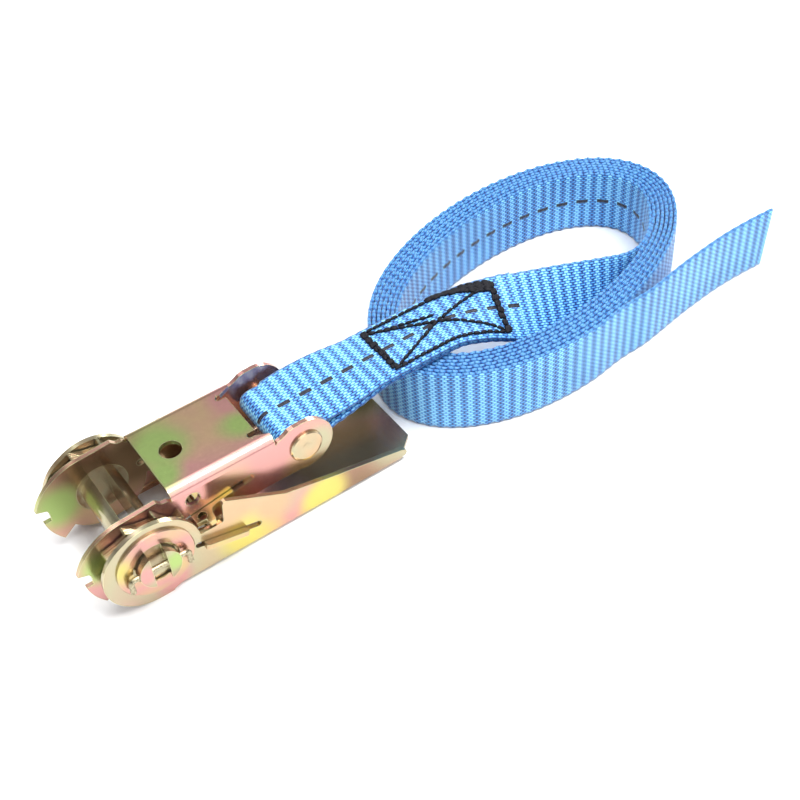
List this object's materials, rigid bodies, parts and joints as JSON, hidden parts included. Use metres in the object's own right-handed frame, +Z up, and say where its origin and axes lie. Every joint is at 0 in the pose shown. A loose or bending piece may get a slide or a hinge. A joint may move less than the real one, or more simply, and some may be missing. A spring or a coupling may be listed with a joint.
{
  "type": "ratchet tie down",
  "caption": "Ratchet tie-down buckle with hinged handle, split spindle, sprung pawls and a coiled strap sewn to its anchor rivet.",
  "frame": {"origin": "centre of the webbing slot, on the spindle axis midway between the two sides", "axes": "+X from the spindle towards the strap anchor, +Y along the spindle, +Z up with the closed handle's web on the floor"},
  "size_m": [0.2641, 0.0834, 0.0328],
  "materials": {
    "zinc_sheet": "yellow chromate zinc plate, iridescent",
    "zinc_wheel": "yellow chromate zinc plate, darker",
    "zinc_bar": "yellow chromate zinc plate",
    "bright_steel": "bright zinc plate",
    "webbing": "woven, slight sheen",
    "thread": "matt"
  },
  "bodies": {
    "base": {"base_side_near": "zinc_sheet", "base_side_far": "zinc_sheet", "base_web": "zinc_sheet", "anchor_rivet": "zinc_bar", "base_spring_seat": "zinc_wheel", "base_pawl_spring": "bright_steel", "strap_eye": "webbing", "strap_return": "webbing", "strap_lead": "webbing", "strap_coil": "webbing", "strap_tail": "webbing", "box_stitching": "thread"},
    "base_pawl": {"base_pawl": "zinc_sheet"},
    "handle": {"handle_side_near": "zinc_sheet", "handle_side_far": "zinc_sheet", "handle_web": "zinc_sheet", "handle_spring_tab": "zinc_sheet", "handle_pawl_spring": "bright_steel"},
    "handle_pawl": {"handle_pawl": "zinc_sheet"},
    "spindle": {"spindle_bar_front": "zinc_bar", "spindle_bar_rear": "zinc_bar", "wheel_near_inner": "zinc_wheel", "wheel_near_outer": "zinc_wheel", "wheel_far_inner": "zinc_wheel", "wheel_far_outer": "zinc_wheel", "cotter_pin_near": "bright_steel", "cotter_pin_far": "bright_steel"},
    "near_washer": {"washer_near": "zinc_sheet"},
    "far_washer": {"washer_far": "zinc_sheet"}
  },
  "joints": [
    {"name": "handle_hinge", "type": "hinge", "parent": "base", "child": "handle", "pos_m": [0, 0, 0], "axis": [0, -1, 0], "range_deg": [-164, 0]},
    {"name": "spindle_spin", "type": "hinge", "parent": "base", "child": "spindle", "pos_m": [0, 0, 0], "axis": [0, 1, 0], "continuous": true},
    {"name": "near_washer_spin", "type": "hinge", "parent": "spindle", "child": "near_washer", "pos_m": [0, 0, 0], "axis": [0, 1, 0], "continuous": true},
    {"name": "far_washer_spin", "type": "hinge", "parent": "spindle", "child": "far_washer", "pos_m": [0, 0, 0], "axis": [0, 1, 0], "continuous": true},
    {"name": "base_pawl_slide", "type": "slide", "parent": "base", "child": "base_pawl", "axis": [-0.9877, 0, -0.1564], "range_m": [-0.0012, 0.002], "stiffness_N_per_m": 300, "springref_m": 0.004, "deforming": ["base_pawl_spring"]},
    {"name": "handle_pawl_slide", "type": "slide", "parent": "handle", "child": "handle_pawl", "axis": [-0.9703, 0, 0.2419], "range_m": [-0.0025, 0.002], "stiffness_N_per_m": 300, "springref_m": 0.004, "deforming": ["handle_pawl_spring"]}
  ]
}
